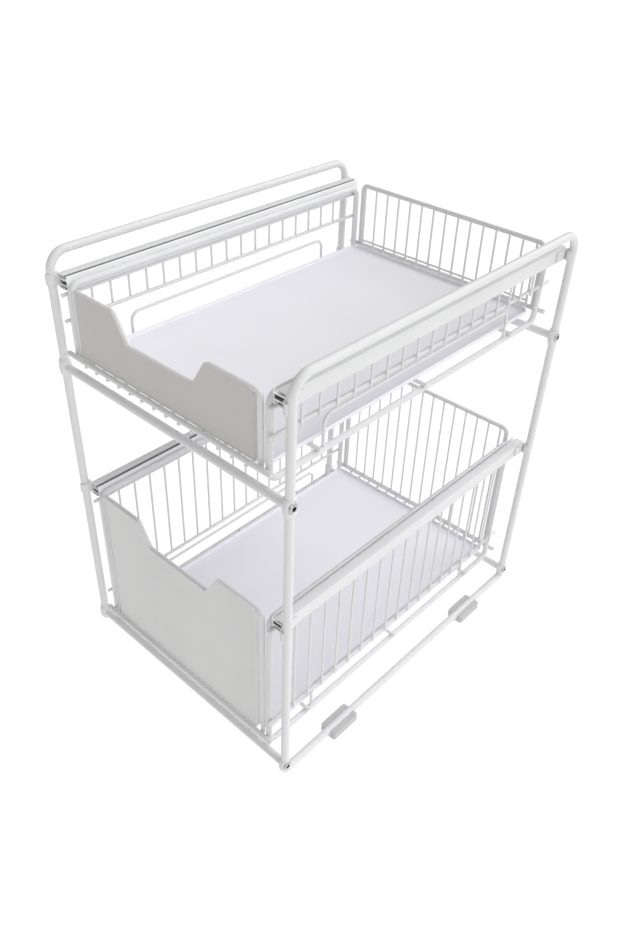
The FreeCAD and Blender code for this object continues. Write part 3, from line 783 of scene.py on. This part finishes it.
class ORGANIZER_OT_guards(bpy.types.Operator):
    """Build the low guard hoops on the side loops, with a weld bead round each foot"""

    bl_idname = "organizer.guards"
    bl_label = "Guard hoops"

    def execute(self, context):
        sizes = context.scene.organizer_drawer
        for tier, side in product(TIERS, SIDES):
            stem = tier + "_" + side
            corners, radius = upright_loop(stem + "_guard")
            corners[[0, 3], 2] -= radius
            path = rounded_path(corners, [sizes.guard_bend] * 2, BEND_STEPS)
            hoop = wire(path, X_AXIS, radius, WIRE_SIDES, CUT_EDGE)
            weld = radius * np.array(GUARD_FOOT)
            feet = beads(corners[[0, 3]] + weld * Z_AXIS, weld)
            add_piece(stem + "_guard_hoop", [hoop, feet], tier + "_drawer", [stem + "_guard"])
        return {"FINISHED"}


class ORGANIZER_OT_side_grids(bpy.types.Operator):
    """Build the side grids: two long wires, rungs on their outer side, beads at the crossings"""

    bl_idname = "organizer.side_grids"
    bl_label = "Side grids"

    def execute(self, context):
        sizes = context.scene.organizer_drawer
        long_r, rung_r, edge = sizes.grid_wire / 2, sizes.rung / 2, sizes.wire_edge
        for tier, (side, sign) in product(TIERS, SIDES.items()):
            stem = tier + "_" + side
            low, high = corners_of(stem + "_side_grid")
            near, far = sorted((abs(low[0]), abs(high[0])))
            wire_x, rung_x = sign * (near + long_r), sign * (far - rung_r)
            levels = (low[2] + sizes.rung_tail, high[2] - long_r)
            first = low[1] + sizes.rung_first
            last = high[1] - sizes.rung_end
            rungs = first + np.arange(int((last - first) / sizes.rung_pitch) + 1) * sizes.rung_pitch
            long_wire = straight((wire_x, low[1], 0), (wire_x, high[1], 0), long_r, WIRE_SIDES, edge)
            rung = straight((rung_x, 0, low[2]), (rung_x, 0, levels[1]), rung_r, RUNG_SIDES, edge)
            touch_x = wire_x + sign * (long_r - sizes.weld_sink / 2)
            parts = [copies(long_wire, crossing(0, 0, levels)), copies(rung, crossing(0, rungs, 0)),
                     beads(crossing(touch_x, rungs, levels), sizes.bead * np.array(SIDE_WELD))]
            add_piece(stem + "_side_grating", parts, tier + "_drawer", [stem + "_side_grid"])
        return {"FINISHED"}


class ORGANIZER_OT_back_frames(bpy.types.Operator):
    """Build the frames of the drawer backs, each an inverted U of wire"""

    bl_idname = "organizer.back_frames"
    bl_label = "Back frames"

    def execute(self, context):
        sizes = context.scene.organizer_drawer
        for tier in TIERS:
            low, high = corners_of(tier + "_back_frame")
            radius = (high[1] - low[1]) / 2
            y = (low[1] + high[1]) / 2
            left, right = low[0] + radius, high[0] - radius
            foot, top = low[2], high[2] - radius
            corners = [(left, y, foot), (left, y, top), (right, y, top), (right, y, foot)]
            path = rounded_path(corners, [sizes.back_bend] * 2, BEND_STEPS)
            bow = wire(path, Y_AXIS, radius, BOW_SIDES, CUT_EDGE)
            add_piece(tier + "_back_bow", [bow], tier + "_drawer", [tier + "_back_frame"])
        return {"FINISHED"}


class ORGANIZER_OT_back_grids(bpy.types.Operator):
    """Build the back grids: rungs welded to the inner side of the back frame,
    and one tie wire across their feet"""

    bl_idname = "organizer.back_grids"
    bl_label = "Back grids"

    def execute(self, context):
        sizes = context.scene.organizer_drawer
        rung_r, edge = sizes.rung / 2, sizes.wire_edge
        tie_weld, top_weld = sizes.bead * np.array((TIE_WELD, BACK_WELD))
        for tier in TIERS:
            low, high = corners_of(tier + "_back_grid")
            row = centred_row((high[0] - low[0]) / 2 - sizes.rung, sizes.back_pitch)
            rung_y, tie_y = high[1] - rung_r, low[1] + rung_r
            tie_z = low[2] + sizes.back_tie
            weld_y, weld_z = high[1:] - top_weld[1]
            rung = straight((0, rung_y, low[2]), (0, rung_y, high[2]), rung_r, RUNG_SIDES, edge)
            tie = straight((low[0], tie_y, tie_z), (high[0], tie_y, tie_z), rung_r, RUNG_SIDES, edge)
            parts = [copies(rung, crossing(row, 0, 0)), tie,
                     beads(crossing(row, (rung_y + tie_y) / 2, tie_z), tie_weld),
                     beads(crossing(row, weld_y, weld_z), top_weld)]
            add_piece(tier + "_back_grating", parts, tier + "_drawer", [tier + "_back_grid"])
        return {"FINISHED"}


class ORGANIZER_OT_floor_grids(bpy.types.Operator):
    """Build the floors: lengthwise wires on support wires under them and cross wires
    over their ends, all welded"""

    bl_idname = "organizer.floor_grids"
    bl_label = "Floor grids"

    def execute(self, context):
        sizes = context.scene.organizer_drawer
        cross_r, floor_r, support_r = sizes.cross_wire / 2, sizes.floor_wire / 2, sizes.support_wire / 2
        supports = np.array((-1, 0, 1)) * sizes.support_spacing
        weld, edge = sizes.bead * np.array(FLOOR_WELD), sizes.wire_edge
        for tier in TIERS:
            node = tier + "_floor_grid"
            low, high = corners_of(node)
            ends = (low[1] + cross_r, high[1] - cross_r)
            support_z = low[2] + support_r
            floor_z = support_z + support_r + floor_r - sizes.weld_sink
            cross_z = high[2] - cross_r
            half = high[0] - sizes.support_short
            front, rear = low[1] + sizes.floor_inset, high[1] - sizes.floor_inset
            row = centred_row(high[0] - sizes.floor_margin, sizes.floor_pitch)
            cross = straight((low[0], 0, cross_z), (high[0], 0, cross_z), cross_r, BOW_SIDES, edge)
            support = straight((-half, 0, support_z), (half, 0, support_z), support_r, WIRE_SIDES, edge)
            floor = straight((0, front, floor_z), (0, rear, floor_z), floor_r, RUNG_SIDES, edge)
            parts = [copies(cross, crossing(0, ends, 0)), copies(support, crossing(0, supports, 0)),
                     copies(floor, crossing(row, 0, 0)),
                     beads(crossing(row, supports, floor_z - floor_r), weld),
                     beads(crossing(row, ends, floor_z + floor_r), weld)]
            add_piece(tier + "_floor_grating", parts, tier + "_drawer", [node])
        return {"FINISHED"}


class ORGANIZER_OT_front_frames(bpy.types.Operator):
    """Build the wire frames behind the front panels' edges: two posts, a top edge
    and the finger notch in it"""

    bl_idname = "organizer.front_frames"
    bl_label = "Front frames"

    def execute(self, context):
        sizes = context.scene.organizer_drawer
        for tier in TIERS:
            node = tier + "_front_frame"
            low, high = corners_of(node)
            radius = (high[1] - low[1]) / 2
            y = (low[1] + high[1]) / 2
            post, top = high[0] - radius, high[2] - radius
            slope = (sizes.notch_top - sizes.notch_floor) / 2 / sizes.notch_depth
            shift = radius * (math.sqrt(1 + slope ** 2) - slope)
            half = [(post, low[2]), (post, top), (sizes.notch_top / 2 + shift, top),
                    (sizes.notch_floor / 2 + shift, top - sizes.notch_depth)]
            corners = [(-x, y, z) for x, z in half] + [(x, y, z) for x, z in reversed(half)]
            path = rounded_path(corners, [sizes.front_bend] * 6, BEND_STEPS)
            bow = wire(path, Y_AXIS, radius, LOOP_SIDES, CUT_EDGE)
            add_piece(tier + "_front_bow", [bow], tier + "_drawer", [node])
        return {"FINISHED"}


class ORGANIZER_OT_panels(bpy.types.Operator):
    """Finish the front panels; the upper one's tone is darker than the lower one's as painted shade"""

    bl_idname = "organizer.panels"
    bl_label = "Front panels"

    def execute(self, context):
        for tier in TIERS:
            dress(tier + "_front_panel", tier + "_panel")
        return {"FINISHED"}


class ORGANIZER_OT_liners(bpy.types.Operator):
    """Build the liner trays: rounded rectangles (inset, height) stacked from the underside
    over the lip to the floor"""

    bl_idname = "organizer.liners"
    bl_label = "Liners"

    def execute(self, context):
        sizes = context.scene.organizer_drawer
        sheet, inner, lip = sizes.liner_sheet, sizes.liner_fillet, sizes.liner_sheet / 2
        outer = inner * LINER_OUTER
        bow = quarter(LIP_RINGS)
        by_sine, by_cosine = 1 - np.sin(bow), 1 - np.cos(bow)
        for tier in TIERS:
            node = tier + "_liner"
            low, high = corners_of(node)
            half, middle, tall = (high - low) / 2, (high + low) / 2, high[2] - low[2]
            inset = np.concatenate([
                half[0] * np.array(LINER_UNDER), outer * by_sine, lip * by_cosine, sheet - lip * by_sine,
                sheet + inner * by_cosine, half[0] * np.array(LINER_FLOOR)])
            height = np.concatenate([
                np.zeros(len(LINER_UNDER)), outer * by_cosine, tall - lip * by_sine, tall - lip * by_cosine,
                sheet + inner * by_sine, np.full(len(LINER_FLOOR), sheet)])
            corners = np.maximum(sizes.liner_corner - inset, LINER_LEAST)
            plan = np.array([rounded_rectangle(half[0] - d, half[1] - d, corner, LINER_CORNER_STEPS)
                             for d, corner in zip(inset, corners)]) + middle[:2]
            z = np.broadcast_to((low[2] + height)[:, None, None], plan.shape[:2] + (1,))
            tray = ring_shell(np.concatenate([plan, z], -1))
            add_piece(tier + "_tray", [tray], tier + "_drawer", [node], "liner_plastic", crease=50.0)
        return {"FINISHED"}


def direction(azimuth, elevation):
    """Unit vector from the object, round it from the front to the right and above the floor."""
    level = math.cos(elevation)
    return Vector((math.sin(azimuth) * level, -math.cos(azimuth) * level, math.sin(elevation)))


def sun(name, azimuth, elevation, strength, softness):
    """Soft far light from a direction round the object and above the floor."""
    light = bpy.data.lights.new(name, "SUN")
    light.energy = strength
    light.angle = softness
    lamp = bpy.data.objects.new(name, light)
    out = direction(azimuth, elevation)
    lamp.rotation_euler = out.to_track_quat("Z", "Y").to_euler()
    lamp.location = out * LAMP_DISTANCE
    bpy.context.scene.collection.objects.link(lamp)


def studio_floor(tone, glow):
    """Flat square just under the object that gives off its own pale light."""
    half, sink = FLOOR_HALF, -FLOOR_SINK
    mesh = bpy.data.meshes.new("studio_floor")
    mesh.from_pydata([(-half, -half, sink), (half, -half, sink), (half, half, sink), (-half, half, sink)],
                     [], [(0, 1, 2, 3)])
    floor = bpy.data.objects.new("studio_floor", mesh)
    bpy.context.scene.collection.objects.link(floor)
    material, shader, add, feed = new_finish("studio_floor")
    place = add("ShaderNodeTexCoord").outputs["Object"]
    cloud = spread(add, grain(add, place, FLOOR_CLOUD, FLOOR_DETAIL))
    feed("Base Color", shade(add, cloud, tone, FLOOR_DARK))
    shader.inputs["Roughness"].default_value = FLOOR_ROUGH
    shader.inputs["Emission Color"].default_value = (1.0, 1.0, 1.0, 1.0)
    shader.inputs["Emission Strength"].default_value = glow
    mesh.materials.append(material)


def studio_world(stage):
    """White surroundings: brightness runs from low to high with the cosine to the bright side."""
    world = bpy.data.worlds.new("studio")
    world.use_nodes = True
    nodes, links = world.node_tree.nodes, world.node_tree.links
    sky = nodes["Background"]
    sky.inputs["Color"].default_value = (1.0, 1.0, 1.0, 1.0)
    toward = nodes.new("ShaderNodeVectorMath")
    toward.operation = "DOT_PRODUCT"
    toward.inputs[1].default_value = direction(stage.sky_azimuth, stage.sky_elevation)
    level = nodes.new("ShaderNodeMapRange")
    limits = {"From Min": -1.0, "From Max": 1.0, "To Min": stage.sky_low, "To Max": stage.sky_high}
    for key, value in limits.items():
        level.inputs[key].default_value = value
    links.new(nodes.new("ShaderNodeTexCoord").outputs["Generated"], toward.inputs[0])
    links.new(toward.outputs["Value"], level.inputs["Value"])
    links.new(level.outputs["Result"], sky.inputs["Strength"])
    return world


def camera_turn(stage):
    """Camera axes: back from azimuth and elevation, right level, then rolled about the view line."""
    back = direction(stage.azimuth, stage.elevation)
    right = Vector((0, 0, 1)).cross(back).normalized()
    up = back.cross(right)
    c, s = math.cos(stage.roll), math.sin(stage.roll)
    return Matrix((c * right + s * up, c * up - s * right, back)).transposed()


class ORGANIZER_OT_stage(bpy.types.Operator):
    """Set up the pale floor, the soft light and the camera"""

    bl_idname = "organizer.stage"
    bl_label = "Stage"

    def execute(self, context):
        scene = context.scene
        stage = scene.organizer_stage
        studio_floor(scene.organizer_colours.floor, stage.floor_glow)
        scene.world = studio_world(stage)
        sun("key_light", stage.key_azimuth, stage.key_elevation, stage.key_strength, stage.key_softness)
        sun("side_light", stage.side_azimuth, stage.side_elevation, stage.fill_strength, stage.side_softness)

        scene.view_settings.view_transform = "Standard"
        data = bpy.data.cameras.new("camera")
        data.lens = stage.lens
        data.sensor_width = SENSOR
        data.sensor_fit = "AUTO"
        data.clip_start = NEAREST
        camera = bpy.data.objects.new("camera", data)
        camera.matrix_world = Matrix.Translation(stage.place) @ camera_turn(stage).to_4x4()
        scene.collection.objects.link(camera)
        scene.camera = camera
        return {"FINISHED"}


class VIEW3D_PT_organizer(bpy.types.Panel):
    """Steps of the organizer and the sizes and colours that they use"""

    bl_label = "Organizer"
    bl_space_type = "VIEW_3D"
    bl_region_type = "UI"
    bl_category = "Organizer"

    def draw(self, context):
        for step in STEPS:
            self.layout.operator(step.bl_idname)
        for group, kind in GROUPS.items():
            box = self.layout.box()
            for name in kind.__annotations__:
                box.prop(getattr(context.scene, group), name)


STEPS = (
    ORGANIZER_OT_side_frames,
    ORGANIZER_OT_cross_bars,
    ORGANIZER_OT_screws,
    ORGANIZER_OT_foot_pads,
    ORGANIZER_OT_slides,
    ORGANIZER_OT_side_loops,
    ORGANIZER_OT_guards,
    ORGANIZER_OT_side_grids,
    ORGANIZER_OT_back_frames,
    ORGANIZER_OT_back_grids,
    ORGANIZER_OT_floor_grids,
    ORGANIZER_OT_front_frames,
    ORGANIZER_OT_panels,
    ORGANIZER_OT_liners,
    ORGANIZER_OT_stage,
)
GROUPS = {
    "organizer_frame": OrganizerFrameSizes,
    "organizer_drawer": OrganizerDrawerSizes,
    "organizer_colours": OrganizerColours,
    "organizer_stage": OrganizerStage,
}
CLASSES = (*GROUPS.values(), *STEPS, VIEW3D_PT_organizer)


def register():
    for item in CLASSES:
        bpy.utils.register_class(item)
    for name, group in GROUPS.items():
        setattr(bpy.types.Scene, name, PointerProperty(type=group))


def unregister():
    for name in GROUPS:
        delattr(bpy.types.Scene, name)
    for item in reversed(CLASSES):
        bpy.utils.unregister_class(item)


def main():
    """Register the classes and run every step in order."""
    register()
    bpy.ops.organizer.side_frames()
    bpy.ops.organizer.cross_bars()
    bpy.ops.organizer.screws()
    bpy.ops.organizer.foot_pads()
    bpy.ops.organizer.slides()
    bpy.ops.organizer.side_loops()
    bpy.ops.organizer.guards()
    bpy.ops.organizer.side_grids()
    bpy.ops.organizer.back_frames()
    bpy.ops.organizer.back_grids()
    bpy.ops.organizer.floor_grids()
    bpy.ops.organizer.front_frames()
    bpy.ops.organizer.panels()
    bpy.ops.organizer.liners()
    bpy.ops.organizer.stage()


if __name__ == "__main__":
    main()
